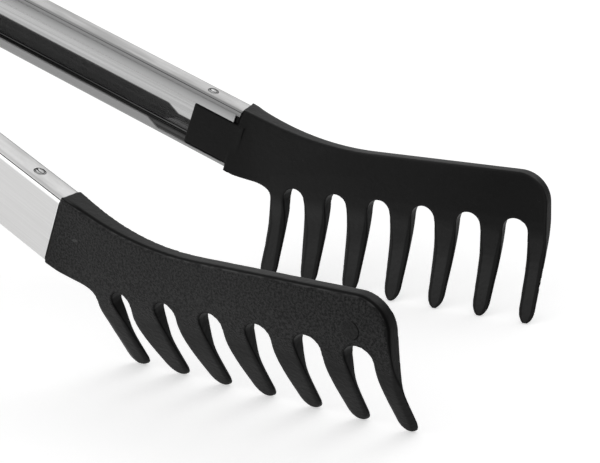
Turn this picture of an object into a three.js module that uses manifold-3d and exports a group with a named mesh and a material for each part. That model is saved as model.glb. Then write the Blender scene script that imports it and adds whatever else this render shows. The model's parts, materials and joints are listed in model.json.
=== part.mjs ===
// Spring loaded kitchen tongs: two stamped channel arms hinged on a rivet, a torsion spring that
// holds them open, a sliding lock with a pull tab, and two moulded comb heads with curved teeth.
//
// Millimetres, +Z up. The tongs stand on the tips of their teeth with the heads level, opened
// along +X, and are symmetric about the plane y = 0. The origin lies on the ground below the
// middle of their length. Each arm is drawn in its own frame: the hinge axis is z, x runs along
// the arm, and y points inward. The rear arm is the mirror image of the front one.
import * as THREE from "three";
import { mergeVertices } from "three/addons/utils/BufferGeometryUtils.js";
import Module from "manifold-3d";

const wasm = await Module();
wasm.setup();

// ---- driving dimensions ----

// clearances
const GAP = 0.3; // between pieces that seat on each other
const RUNNING_GAP = 0.15; // around a pin, on the radius
const CUT_MARGIN = 1; // how far a cutting shape runs past what it cuts

// arm: a channel with returned lips
const ARM_LENGTH = 262; // hinge axis to the shoulder of the head
const ARM_HEIGHT = 17.7;
const ARM_DEPTH = 6.9;
const SHEET = 0.8;
const BEND_RADIUS = 1.6; // outside of each bend
const UPPER_LIP = 3.8; // from the arm's top down to the lip's edge
const LOWER_LIP = 3.2;
const WEB_OFFSET = 10.1; // hinge axis to the outside of the web
const ARM_YAW = THREE.MathUtils.degToRad(6.52); // each arm's slant when the tongs are open

// hinge ears
const EAR_RADIUS = 8.2;
const EAR_TAIL = 20; // where the ear has come down to the channel's depth
const LIP_START = 32; // the lips, and the catch for the lock, begin here
const NECK_START = 15.5; // the rear arm is narrowed up to here, to sit inside the front arm
const NECK_END = 21;

// lock catch and window in the lips
const CATCH_LENGTH = 6;
const WINDOW_LENGTH = 11.5;

// relief in the lower lip near the head
const RELIEF_START = 24.9; // before the end of the arm
const RELIEF_SLANT = 3.6;
const RELIEF_EDGE = 1.5; // height that is left of the lower lip
const LIP_SETBACK = 1.2; // the lips stop this far before the end of the arm

// hinge rivet
const RIVET_RADIUS = 2;
const RIVET_HEAD_RADIUS = 3.9;
const RIVET_HEAD_HEIGHT = 1.3;
const HEAD_RIM = 0.45; // height of a rivet head's rim, as a share of the head's
const HEAD_CROWN = 0.6; // radius of its flat crown, as a share of the head's

// torsion spring and the sleeve inside it
const WIRE_RADIUS = 0.8;
const COIL_RADIUS = 4.1; // to the middle of the wire
const COIL_PITCH = 1.95;
const COIL_TURNS = 4.5;
const LEG_LENGTH = 30;
const LEG_BOW = 0.35; // how much of a leg's slant is eased in and out
const SLEEVE_WALL = 0.6;

// lock slider
const LOCK_SHEET = 1;
const LOCK_CORNER = 1; // cut off the corners of the bar
const LOCK_EYE_TAPER = 2; // from the eye's width to the shank's
const LOCK_PLAY = 0.5; // between the barbs and the catches when the lock is pulled
const LOCK_TRAVEL = 6;
const LOCK_SHANK_WIDTH = 4.8;
const LOCK_EYE_WIDTH = 9;
const LOCK_EYE_REACH = 12; // ahead of the hinge axis
const LOCK_BACK = 15; // the bridge, behind the hinge axis
const BARB_INSIDE = 5.35; // from the middle plane to the inside of a barb
const BARB_WIDTH = 1.2;
const BARB_LENGTH = 5.5;
const LOCK_BAR = 3;
const TONGUE_LENGTH = 9;
const TONGUE_HEIGHT = 7;

// pull tab
const TAB_LENGTH = 30;
const TAB_HEIGHT = 15;
const TAB_THICKNESS = 5.6;
const TAB_CORNER = 2;
const TAB_HOLE_RADIUS = 4.2;
const TAB_HOLE_SPREAD = 5; // the hanging hole is a slot, this long between its centres
const TAB_RIVET_RADIUS = 1.4;
const TAB_RIVET_HEAD_RADIUS = 2.6;
const TAB_RIVET_HEAD_HEIGHT = 0.8;

// comb head
const TEETH = 7;
const TOOTH_PITCH = 12;
const HEAD_PITCH = THREE.MathUtils.degToRad(23.41); // the head's rise against its arm
const HEAD_TOE = THREE.MathUtils.degToRad(4.57); // the head's turn inward against its arm
const HEAD_CORNER = 7.5;
const HEAD_DROP = 0.6; // the head's top line starts this far below the middle of its arm
const PLATE_TOP = 3.6; // wall of the comb at its top edge
const PLATE_NEAR = 5.6; // wall at the slots, next to the arm
const PLATE_FAR = 4.8; // wall at the slots, at the far end
const PLATE_EDGE = 1.1; // rounding of the plate's outer edges
const TOP_BLEND_RADIUS = 72; // from the arm's top line to the head's
const SHOULDER_RISE = 0.4; // the head stands this far above the arm at the shoulder
const FOOT_DROP = 0.4; // and this far below it
const FOOT_EASE = 3.5; // how far the curve above the first tooth is drawn toward the arm
const FOOT_REACH = 4; // the foot runs on from the shoulder before it turns into the first tooth

// thick root of the head, next to the arm
const ROOT_START = 14; // drawn from this far behind the shoulder, then cut
const ROOT_END = 36; // the root's thickness has come down to the plate's here
const ROOT_SLOPE_START = 8.5; // below the head's top line, where the root begins to thin

// slots and teeth, in depths below the head's top line
const FIRST_SLOT_WIDTH = 5.2; // on the outside
const LAST_SLOT_WIDTH = 7.3;
const SLOT_INSIDE = 6.4; // width of every slot on the inside
const SLOT_TOP = 11.6;
const SLOT_REACH = 7; // how far in the cut of a slot reaches
const SLOT_ROUNDING = 3.3; // height of a slot's round top
const SLOT_LENGTH = 7; // the plate is cut this far down past the round tops
const FIRST_SLOT = 17.3; // middle of the first slot, along the head
const SLOT_PITCH = 12.28;
const END_TOOTH_WIDTH = 4.3; // the first and the last tooth where they leave the plate, on the outside
const TIP_DEPTH = 35;
const FIRST_TIP = 12.5; // middle of the first tooth's tip, along the head
const TIP_WIDTH = 4.6; // on the inside
const TIP_FACE = 3.5; // on the outside
const FACE_TAPER = 2.2; // the outside of a tooth narrows with this power of its length
const BACK_TAPER = 0.65; // and the inside with this power
const TIP_LIFT = 0.4; // the outside of a tip ends this much higher
const TIP_CURL = 12.85; // how far inward the middle of a tip lies
const TIP_THICKNESS = 1.8;
const CURL_START = 4.5;
const CURL_EASE = 12.6; // the outside's curl leaves the plate's plane over this length
const BACK_EASE = 10.6; // and the inside's over this length, from the slots' tops
const CURL_HOOK = 11.9; // the straight end of a tooth aims back to this far above the tips
const CURL_BELLY = 5.3; // and to this far inward
const TOOTH_BELLY = 2.2; // thickness aimed at there, between the plate's and the tip's
const TOOTH_EDGE = 0.7; // rounding along the inside of a tooth
const TOOTH_FACE_EDGE = 0.4; // rounding along its outside
const ROOT_EDGE_SHARE = 0.1; // share of a rounding that is left where a tooth meets the plate
const EDGE_GROWTH = 0.4; // share of a tooth's length over which it grows to the full rounding
const STUB_INSET = 0.35; // a tooth's stub inside the plate is drawn in by this share
const SEAM = 0.02; // depth by which joined solids are kept from ending in one plane

// tenon of the head inside the arm, and the spring pin through both
const TENON_LENGTH = 12.7;
const HEAD_PIN_SETBACK = 10.3; // before the end of the arm
const HEAD_PIN_DEPTH = 3.6; // from the outside of the web
const HEAD_PIN_RADIUS = 1.3;
const HEAD_PIN_WALL = 0.4;
const HEAD_PIN_SLIT = 0.45;

// ---- materials ----

const steel = new THREE.MeshStandardMaterial({ color: 0xc8c8c5, metalness: 1, roughness: 0.35 });
const brightSteel = new THREE.MeshStandardMaterial({ color: 0xd4d4d2, metalness: 1, roughness: 0.22 });
const springSteel = new THREE.MeshStandardMaterial({ color: 0xb4b4b4, metalness: 1, roughness: 0.3 });
const nylon = new THREE.MeshStandardMaterial({ color: 0x1b1b1c, metalness: 0, roughness: 0.6 });

// ---- solids ----

const X = new THREE.Vector3(1, 0, 0);
const Y = new THREE.Vector3(0, 1, 0);
const Z = new THREE.Vector3(0, 0, 1);

// A closed three.js geometry as a solid that can be joined and cut.
function solid(geometry) {
  const bare = geometry.clone();
  bare.deleteAttribute("normal");
  bare.deleteAttribute("uv");
  const merged = mergeVertices(bare, 1e-5);
  const vertProperties = Float32Array.from(merged.attributes.position.array);
  const triVerts = Uint32Array.from(merged.index.array);
  return new wasm.Manifold(new wasm.Mesh({ numProp: 3, vertProperties, triVerts }));
}

function geometryOf(body) {
  const mesh = body.getMesh();
  const geometry = new THREE.BufferGeometry();
  const position = new Float32Array(mesh.triVerts.length * 3);
  mesh.triVerts.forEach((vertex, corner) => {
    for (let axis = 0; axis < 3; axis += 1) {
      position[corner * 3 + axis] = mesh.vertProperties[vertex * mesh.numProp + axis];
    }
  });
  geometry.setAttribute("position", new THREE.BufferAttribute(position, 3));
  geometry.computeVertexNormals();
  return geometry;
}

// A shape drawn in a plane and extruded across it. The plane is "plan" (x, y, extruded along z),
// "side" (x, z, extruded along y) or "section" (y, z, extruded along x). A bevel adds its own
// thickness at both ends.
function prism(shape, plane, from, to, curveSegments = 8, bevel = { bevelEnabled: false }) {
  const depth = to - from;
  const geometry = new THREE.ExtrudeGeometry(shape, { depth, curveSegments, ...bevel });
  const place = new THREE.Matrix4();
  if (plane === "side") {
    place.makeBasis(X, Z, Y.clone().negate());
    place.setPosition(0, to, 0);
  } else if (plane === "section") {
    place.makeBasis(Y, Z, X);
    place.setPosition(from, 0, 0);
  } else {
    place.setPosition(0, 0, from);
  }
  return solid(geometry.applyMatrix4(place));
}

function box(low, high) {
  const size = high.map((value, axis) => value - low[axis]);
  const middle = high.map((value, axis) => (value + low[axis]) / 2);
  return solid(new THREE.BoxGeometry(...size).translate(...middle));
}

// A cylinder along z, or along y when it is turned.
function cylinder(radius, from, to, x = 0, y = 0, sides = 24) {
  const geometry = new THREE.CylinderGeometry(radius, radius, to - from, sides);
  geometry.rotateX(Math.PI / 2);
  return solid(geometry.translate(x, y, (from + to) / 2));
}

// The points of a shape's outline, anticlockwise, with none repeated.
function outlineOf(shape, divisions) {
  const points = shape.getPoints(divisions);
  const apart = points.filter((point, n) => {
    const next = points[(n + 1) % points.length];
    return point.distanceTo(next) > 1e-6;
  });
  return THREE.ShapeUtils.isClockWise(apart) ? apart.reverse() : apart;
}

// A solid through sections of equally many points, each a list of Vector3 round the outline,
// anticlockwise as seen from the last section. The axes name the plane that the ends are seen in.
function loft(sections, axes = ["y", "z"]) {
  const around = sections[0].length;
  const position = sections.flat().flatMap((point) => point.toArray());
  const index = [];
  for (let row = 0; row + 1 < sections.length; row += 1) {
    for (let n = 0; n < around; n += 1) {
      const next = (n + 1) % around;
      const here = row * around;
      const there = here + around;
      index.push(here + n, here + next, there + next, here + n, there + next, there + n);
    }
  }
  const flat = sections[0].map((point) => new THREE.Vector2(point[axes[0]], point[axes[1]]));
  const cap = THREE.ShapeUtils.triangulateShape(flat, []);
  const last = (sections.length - 1) * around;
  for (const [a, b, c] of cap) {
    index.push(c, b, a, last + a, last + b, last + c);
  }
  const geometry = new THREE.BufferGeometry();
  geometry.setAttribute("position", new THREE.Float32BufferAttribute(position, 3));
  geometry.setIndex(index);
  return solid(geometry);
}

function piece(name, body, material, group) {
  const geometry = body.isBufferGeometry ? body : geometryOf(body);
  const mesh = new THREE.Mesh(geometry, material);
  mesh.name = name;
  group.add(mesh);
}

// ---- arms ----

const armTop = ARM_HEIGHT / 2;
const webOutside = -WEB_OFFSET;
const lipOutside = webOutside + ARM_DEPTH;
const barbWindow = LIP_START + CATCH_LENGTH;
const headPinX = ARM_LENGTH - HEAD_PIN_SETBACK;
const headPinY = webOutside + HEAD_PIN_DEPTH;

// Half of a channel's section: web, bend and flange as one strip of sheet, above z = 0.
function channelShape(halfHeight, reach) {
  const shape = new THREE.Shape();
  const bend = BEND_RADIUS;
  shape.moveTo(0, -halfHeight + bend);
  shape.absarc(bend, -halfHeight + bend, bend, Math.PI, Math.PI * 1.5);
  shape.lineTo(reach, -halfHeight);
  shape.lineTo(reach, -halfHeight + SHEET);
  shape.lineTo(bend, -halfHeight + SHEET);
  shape.absarc(bend, -halfHeight + bend, bend - SHEET, Math.PI * 1.5, Math.PI, true);
  shape.absarc(bend, halfHeight - bend, bend - SHEET, Math.PI, Math.PI / 2, true);
  shape.lineTo(reach, halfHeight - SHEET);
  shape.lineTo(reach, halfHeight);
  shape.absarc(bend, halfHeight - bend, bend, Math.PI / 2, Math.PI);
  return shape;
}

// The section of the arm with its returned lips.
function lippedShape() {
  const shape = new THREE.Shape();
  const bend = BEND_RADIUS;
  const inner = bend - SHEET;
  const near = ARM_DEPTH - bend;
  const low = -armTop + bend;
  const high = armTop - bend;
  const right = Math.PI / 2;
  shape.moveTo(ARM_DEPTH, -armTop + LOWER_LIP);
  shape.lineTo(ARM_DEPTH, low);
  shape.absarc(near, low, bend, 0, -right, true);
  shape.absarc(bend, low, bend, -right, -2 * right, true);
  shape.absarc(bend, high, bend, 2 * right, right, true);
  shape.absarc(near, high, bend, right, 0, true);
  shape.lineTo(ARM_DEPTH, armTop - UPPER_LIP);
  shape.lineTo(ARM_DEPTH - SHEET, armTop - UPPER_LIP);
  shape.absarc(near, high, inner, 0, right);
  shape.absarc(bend, high, inner, right, 2 * right);
  shape.absarc(bend, low, inner, -2 * right, -right);
  shape.absarc(near, low, inner, -right, 0);
  shape.lineTo(ARM_DEPTH - SHEET, -armTop + LOWER_LIP);
  return shape;
}

// The arm's outline at the hinge, seen along the hinge axis.
function earOutline() {
  const shape = new THREE.Shape();
  const tailX = EAR_TAIL;
  const tailY = lipOutside;
  const reach = Math.hypot(tailX, tailY);
  const tangent = Math.atan2(tailY, tailX) + Math.acos(EAR_RADIUS / reach);
  shape.moveTo(LIP_START + CUT_MARGIN, webOutside - CUT_MARGIN);
  shape.lineTo(LIP_START + CUT_MARGIN, lipOutside);
  shape.lineTo(tailX, tailY);
  shape.absarc(0, 0, EAR_RADIUS, tangent, Math.PI);
  shape.absellipse(0, 0, EAR_RADIUS, WEB_OFFSET, Math.PI, Math.PI * 1.5);
  shape.lineTo(0, webOutside - CUT_MARGIN);
  return shape;
}

// The hinge end: a deep channel cut to the ear outline. A neck takes the flanges inward by one
// sheet and a gap, up to where the other arm's ears reach.
function earEnd(necked) {
  const inset = necked ? SHEET + GAP : 0;
  const reach = WEB_OFFSET + EAR_RADIUS + CUT_MARGIN;
  const start = -EAR_RADIUS - CUT_MARGIN;
  const end = LIP_START + CUT_MARGIN / 2;
  const steps = [0, 0.25, 0.5, 0.75, 1];
  const neck = steps.map((share) => NECK_START + share * (NECK_END - NECK_START));
  const sections = [start, ...neck, end].map((x) => {
    const rise = THREE.MathUtils.smoothstep(x, NECK_START, NECK_END);
    const halfHeight = armTop - inset * (1 - rise);
    const points = outlineOf(channelShape(halfHeight, reach), 2);
    return points.map((point) => new THREE.Vector3(x, webOutside + point.x, point.y));
  });
  const tall = armTop + CUT_MARGIN;
  return loft(sections).intersect(prism(earOutline(), "plan", -tall, tall, 12));
}

// What is cut from the lower lip next to the head.
function reliefShape() {
  const shape = new THREE.Shape();
  const edge = -armTop + LOWER_LIP + CUT_MARGIN;
  const floor = -armTop + RELIEF_EDGE;
  const start = ARM_LENGTH - RELIEF_START;
  shape.moveTo(start - RELIEF_SLANT * (CUT_MARGIN / (LOWER_LIP - RELIEF_EDGE)), edge);
  shape.lineTo(start + RELIEF_SLANT, floor);
  shape.lineTo(ARM_LENGTH - LIP_SETBACK, floor);
  shape.lineTo(ARM_LENGTH - LIP_SETBACK, edge);
  return shape;
}

function armBody(necked) {
  const lips = lipOutside - SHEET - (BEND_RADIUS - SHEET) / 2;
  const beyond = lipOutside + CUT_MARGIN;
  const grip = prism(lippedShape(), "section", LIP_START, ARM_LENGTH, 4)
    .translate(0, webOutside, 0);
  const tall = armTop + CUT_MARGIN;
  const level = armTop - BEND_RADIUS;
  return grip
    .add(earEnd(necked))
    .subtract(box([barbWindow, lips, -level], [barbWindow + WINDOW_LENGTH, beyond, level]))
    .subtract(prism(reliefShape(), "side", lips, beyond))
    .subtract(box([ARM_LENGTH - LIP_SETBACK, lips, -level], [ARM_LENGTH + CUT_MARGIN, beyond, level]))
    .subtract(cylinder(RIVET_RADIUS + RUNNING_GAP, -tall, tall))
    .subtract(cylinder(HEAD_PIN_RADIUS + RUNNING_GAP, -tall, tall, headPinX, headPinY));
}

// ---- comb heads ----

// A point on the arm's side view, seen from the head's frame.
function fromArm(along, up) {
  const turn = new THREE.Vector2(along, up + HEAD_DROP);
  return turn.rotateAround(new THREE.Vector2(), -HEAD_PITCH);
}

const springLine = -SLOT_TOP - SLOT_ROUNDING; // the slots' round tops spring from here
const slotLow = springLine - SLOT_LENGTH; // plate cuts run down to here
const headStart = slotMiddle(1) - halfSlotAt(1, 0) - END_TOOTH_WIDTH; // the first tooth's free side
const headLength = slotMiddle(TEETH - 1) + halfSlotAt(TEETH - 1, 0) + END_TOOTH_WIDTH;

// The middle of the slot behind a tooth, along the head. Tooth 1 is next to the arm.
function slotMiddle(number) {
  return FIRST_SLOT + (number - 1) * SLOT_PITCH;
}

// Half the width of a slot at a distance inward from the outside of the plate. The slots widen
// toward the end of the head.
function halfSlotAt(number, inward) {
  const share = (number - 1) / (TEETH - 2);
  const outside = THREE.MathUtils.lerp(FIRST_SLOT_WIDTH, LAST_SLOT_WIDTH, share);
  return THREE.MathUtils.lerp(outside, SLOT_INSIDE, inward / PLATE_NEAR) / 2;
}

// The plate's wall at the slots, at a distance along the head.
function wallAt(along) {
  return THREE.MathUtils.lerp(PLATE_NEAR, PLATE_FAR, along / headLength);
}

// The outline of the plate: root, level top, rounded end, and the side of the first tooth.
function plateOutline() {
  const shape = new THREE.Shape();
  const low = -armTop - FOOT_DROP;
  const top = fromArm(-ROOT_START, armTop + SHOULDER_RISE);
  const shoulder = fromArm(0, armTop + SHOULDER_RISE);
  const foot = fromArm(FOOT_REACH, low);
  const bottom = fromArm(-ROOT_START, low);
  const corner = shoulder.x + shoulder.y / Math.tan(HEAD_PITCH);
  const blendEnd = corner + TOP_BLEND_RADIUS * Math.tan(HEAD_PITCH / 2);
  const blendStart = Math.PI * 1.5 - HEAD_PITCH;
  const end = headLength - HEAD_CORNER;
  shape.moveTo(top.x, top.y);
  shape.lineTo(shoulder.x, shoulder.y);
  shape.absarc(blendEnd, TOP_BLEND_RADIUS, TOP_BLEND_RADIUS, blendStart, Math.PI * 1.5);
  shape.absarc(end, -HEAD_CORNER, HEAD_CORNER, Math.PI / 2, 0, true);
  shape.lineTo(headLength, slotLow);
  shape.lineTo(headStart, slotLow);
  shape.lineTo(headStart, springLine);
  shape.bezierCurveTo(headStart, -SLOT_TOP, headStart - FOOT_EASE, -SLOT_TOP, foot.x, foot.y);
  shape.lineTo(bottom.x, bottom.y);
  return shape;
}

// The outside and inside of the curl, seen from the end of the head (x inward, y up). The inside
// starts from a wall's thickness.
const outerFace = new THREE.CubicBezierCurve(
  new THREE.Vector2(0, -CURL_START),
  new THREE.Vector2(0, -CURL_START - CURL_EASE),
  new THREE.Vector2(CURL_BELLY, -TIP_DEPTH + CURL_HOOK),
  new THREE.Vector2(TIP_CURL - TIP_THICKNESS / 2, -TIP_DEPTH + TIP_LIFT),
);
function innerFace(wall) {
  return new THREE.CubicBezierCurve(
    new THREE.Vector2(wall, -SLOT_TOP),
    new THREE.Vector2(wall, -SLOT_TOP - BACK_EASE),
    new THREE.Vector2(CURL_BELLY + TOOTH_BELLY, -TIP_DEPTH + CURL_HOOK),
    new THREE.Vector2(TIP_CURL + TIP_THICKNESS / 2, -TIP_DEPTH),
  );
}

// The share of a falling curve at which it has come down to a height.
function shareAt(curve, height) {
  let above = 0;
  let below = 1;
  while (below - above > 1e-9) {
    const middle = (above + below) / 2;
    if (curve.getPoint(middle).y > height) {
      above = middle;
    } else {
      below = middle;
    }
  }
  return below;
}

// The plate, down to where the teeth begin. Its wall grows from the top edge to the slots.
function plateBody() {
  const above = new THREE.Vector2(0, armTop * 2);
  const root = shareAt(outerFace, springLine);
  const down = [0, 1, 2, 3, 4].map((step) => outerFace.getPoint((root * step) / 4));
  const sections = [-ROOT_START, headLength + CUT_MARGIN].map((along) => {
    const inner = innerFace(wallAt(along));
    const innerRoot = shareAt(inner, springLine);
    const up = [2, 1, 0].map((step) => inner.getPoint((innerRoot * step) / 2));
    const edge = new THREE.Vector2(PLATE_TOP, 0);
    const points = [above, ...down, ...up, edge, above.clone().setX(PLATE_TOP)];
    return points.map((point) => new THREE.Vector3(along, point.x, point.y));
  });
  return loft(sections);
}

// What is cut from the plate between two teeth: a slot with a round top and drafted sides.
function slotCut(number) {
  const middle = slotMiddle(number);
  const steps = 8;
  const sections = [SLOT_REACH, -CUT_MARGIN].map((inward) => {
    const half = halfSlotAt(number, inward);
    const points = [[middle + half, slotLow]];
    for (let step = 0; step <= steps; step += 1) {
      const angle = (Math.PI * step) / steps;
      points.push([middle + half * Math.cos(angle), springLine + SLOT_ROUNDING * Math.sin(angle)]);
    }
    points.push([middle - half, slotLow]);
    return points.map(([along, up]) => new THREE.Vector3(along, inward, up));
  });
  return loft(sections, ["x", "z"]);
}

// Where the two sides of a tooth leave the plate, at a distance inward from the outside. The
// first tooth's free side and the last one's are the plate's own.
function rootSides(number, inward) {
  const before = slotMiddle(number - 1) + halfSlotAt(number - 1, inward);
  const after = slotMiddle(number) - halfSlotAt(number, inward);
  return [number === 1 ? headStart : before, number === TEETH ? headLength : after];
}

// The two faces of a tooth: the curl, half the width of the tip, and how fast the sides draw in.
function toothFaces(number) {
  const wall = wallAt(FIRST_TIP + (number - 1) * TOOTH_PITCH);
  return [
    { curve: outerFace, halfTip: TIP_FACE / 2, power: FACE_TAPER },
    { curve: innerFace(wall), halfTip: TIP_WIDTH / 2, power: BACK_TAPER },
  ];
}

// A section across a tooth, at a share of its length, with its corners cut off. The factor
// narrows the sections of the round tip.
function toothSection(number, share, factor = 1) {
  const tip = FIRST_TIP + (number - 1) * TOOTH_PITCH;
  const [outer, inner] = toothFaces(number).map(({ curve, halfTip, power }) => {
    const root = shareAt(curve, springLine);
    const sides = rootSides(number, curve.getPoint(root).x);
    const drawn = share ** power;
    const middle = THREE.MathUtils.lerp((sides[0] + sides[1]) / 2, tip, drawn);
    const half = THREE.MathUtils.lerp((sides[1] - sides[0]) / 2, halfTip, drawn) * factor;
    const place = curve.getPoint(THREE.MathUtils.lerp(root, 1, share));
    return { place, sides: [middle - half, middle + half] };
  });
  const across = inner.place.clone().sub(outer.place);
  const thickness = across.length();
  const growth = THREE.MathUtils.smoothstep(share, 0, EDGE_GROWTH);
  const grown = THREE.MathUtils.lerp(ROOT_EDGE_SHARE, 1, growth);
  const insideEdge = TOOTH_EDGE * grown * factor;
  const outsideEdge = [0, 1].map((side) => {
    const free = number === (side === 0 ? 1 : TEETH);
    return (free ? PLATE_EDGE : TOOTH_FACE_EDGE) * grown * factor;
  });
  const corner = (side, depth, cut) => {
    const edge = THREE.MathUtils.lerp(outer.sides[side], inner.sides[side], depth / thickness);
    const place = outer.place.clone().addScaledVector(across, depth / thickness);
    return new THREE.Vector3(side === 0 ? edge + cut : edge - cut, place.x, place.y);
  };
  return [
    corner(0, 0, outsideEdge[0]),
    corner(1, 0, outsideEdge[1]),
    corner(1, outsideEdge[1], 0),
    corner(1, thickness - insideEdge, 0),
    corner(1, thickness, insideEdge),
    corner(0, thickness, insideEdge),
    corner(0, thickness - insideEdge, 0),
    corner(0, outsideEdge[0], 0),
  ];
}

// One curved tooth, from its round tip up to a stub that reaches into the plate.
function tooth(number) {
  const inner = innerFace(PLATE_FAR);
  const length = inner.getLength() * (1 - shareAt(inner, springLine));
  const tipSections = [75, 55, 30].map((degrees) => {
    const angle = THREE.MathUtils.degToRad(degrees);
    const fromTip = (TIP_WIDTH / 2) * (1 - Math.sin(angle));
    return toothSection(number, 1 - fromTip / length, Math.cos(angle));
  });
  const start = 1 - TIP_WIDTH / 2 / length;
  const shares = [1, 0.9, 0.78, 0.65, 0.52, 0.4, 0.28, 0.18, 0.1, 0.05, 0];
  const body = shares.map((share) => toothSection(number, share * start));
  const root = body.at(-1);
  const middle = new THREE.Vector3();
  root.forEach((point) => middle.addScaledVector(point, 1 / root.length));
  const stub = root.map((point) => {
    const drawnIn = point.clone().lerp(middle, STUB_INSET);
    return drawnIn.setZ(point.z + SLOT_ROUNDING / 2);
  });
  return loft([...tipSections, ...body, stub], ["x", "y"]);
}

// The thick root next to the arm, seen from above.
function rootShape() {
  const shape = new THREE.Shape();
  const inside = PLATE_TOP / 2;
  shape.moveTo(-ROOT_START, inside);
  shape.lineTo(ROOT_END, inside);
  shape.lineTo(ROOT_END, PLATE_TOP);
  shape.quadraticCurveTo(ROOT_END / 2, PLATE_TOP, 0, ARM_DEPTH);
  shape.lineTo(-ROOT_START, ARM_DEPTH + ROOT_START / 8);
  return shape;
}

// The same root seen from the end of the head: it slopes down to the plate above the slots.
function rootSlopeShape() {
  const shape = new THREE.Shape();
  const thick = ARM_DEPTH + CUT_MARGIN;
  const low = springLine + SEAM;
  shape.moveTo(0, armTop * 2);
  shape.lineTo(0, low);
  shape.lineTo(PLATE_TOP / 2, low);
  shape.lineTo(thick, -ROOT_SLOPE_START);
  shape.lineTo(thick, armTop * 2);
  return shape;
}

// Plate, root and teeth, lying along x with the top line of the plate at z = 0.
function comb() {
  const rounded = {
    bevelThickness: PLATE_EDGE,
    bevelSize: PLATE_EDGE,
    bevelOffset: -PLATE_EDGE,
    bevelSegments: 2,
  };
  const outline = prism(plateOutline(), "side", PLATE_EDGE, TIP_CURL, 8, rounded);
  const slope = prism(rootSlopeShape(), "section", -ROOT_START, ROOT_END + CUT_MARGIN);
  const root = prism(rootShape(), "plan", springLine, armTop * 2, 6).intersect(slope);
  let body = plateBody().add(root).intersect(outline);
  for (let number = 1; number < TEETH; number += 1) {
    body = body.subtract(slotCut(number));
  }
  for (let number = 1; number <= TEETH; number += 1) {
    body = body.add(tooth(number));
  }
  return body;
}

// The comb at the end of its arm, cut square at the shoulder, with the tenon that fills the arm.
function headBody() {
  const turned = new THREE.Matrix4().makeRotationZ(HEAD_TOE);
  turned.multiply(new THREE.Matrix4().makeRotationY(-HEAD_PITCH));
  turned.setPosition(ARM_LENGTH, webOutside, -HEAD_DROP);
  const start = ARM_LENGTH + GAP;
  const far = ARM_LENGTH;
  const behind = box([0, -far, -far], [start, far, far]);
  const proud = box([0, -far, -far], [start + PLATE_TOP, webOutside, far]);
  const within = GAP + SHEET;
  const tenonStart = ARM_LENGTH - TENON_LENGTH;
  const cheek = armTop - within;
  const inside = start + PLATE_TOP / 2;
  const core = box([tenonStart, webOutside + within, -cheek], [inside, lipOutside - within, cheek]);
  const padLow = -armTop + RELIEF_EDGE + GAP;
  const padHigh = armTop - UPPER_LIP - GAP;
  const padBack = lipOutside - ARM_DEPTH / 2;
  const pad = box([tenonStart, padBack, padLow], [inside, lipOutside, padHigh]);
  const bore = cylinder(HEAD_PIN_RADIUS + RUNNING_GAP, -armTop, armTop, headPinX, headPinY);
  return comb()
    .transform(turned.elements)
    .subtract(behind)
    .subtract(proud)
    .add(core)
    .add(pad)
    .subtract(bore);
}

// A spring pin: rolled sheet with a slit along it.
function headPin() {
  const slit = Math.asin(HEAD_PIN_SLIT / 2 / HEAD_PIN_RADIUS);
  const shape = new THREE.Shape();
  shape.absarc(0, 0, HEAD_PIN_RADIUS, slit, 2 * Math.PI - slit);
  shape.absarc(0, 0, HEAD_PIN_RADIUS - HEAD_PIN_WALL, 2 * Math.PI - slit, slit, true);
  return prism(shape, "plan", -armTop, armTop, 8).translate(headPinX, headPinY, 0);
}

// ---- hinge, spring and lock ----

// A revolved solid: its profile lies in the plane of radius and height, and the axis is z.
function revolve(profile, segments = 32) {
  const points = profile.map(([radius, height]) => new THREE.Vector2(radius, height));
  return solid(new THREE.LatheGeometry(points, segments).rotateX(Math.PI / 2));
}

function hingeRivet() {
  const seat = armTop + GAP;
  const end = seat + RIVET_HEAD_HEIGHT;
  const rim = seat + RIVET_HEAD_HEIGHT * HEAD_RIM;
  const crown = RIVET_HEAD_RADIUS * HEAD_CROWN;
  return revolve([
    [0, -end],
    [crown, -end],
    [RIVET_HEAD_RADIUS, -rim],
    [RIVET_HEAD_RADIUS, -seat],
    [RIVET_RADIUS, -seat],
    [RIVET_RADIUS, seat],
    [RIVET_HEAD_RADIUS, seat],
    [RIVET_HEAD_RADIUS, rim],
    [crown, end],
    [0, end],
  ]);
}

const lockPlateTop = armTop - 2 * SHEET - 2 * GAP;
const lockPlateBottom = lockPlateTop - LOCK_SHEET;
const sleeveInside = RIVET_RADIUS + GAP;
const sleeveEnd = lockPlateBottom - GAP;

function springSleeve() {
  const outside = sleeveInside + SLEEVE_WALL;
  return revolve([
    [sleeveInside, -sleeveEnd],
    [outside, -sleeveEnd],
    [outside, sleeveEnd],
    [sleeveInside, sleeveEnd],
    [sleeveInside, -sleeveEnd],
  ]);
}

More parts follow.
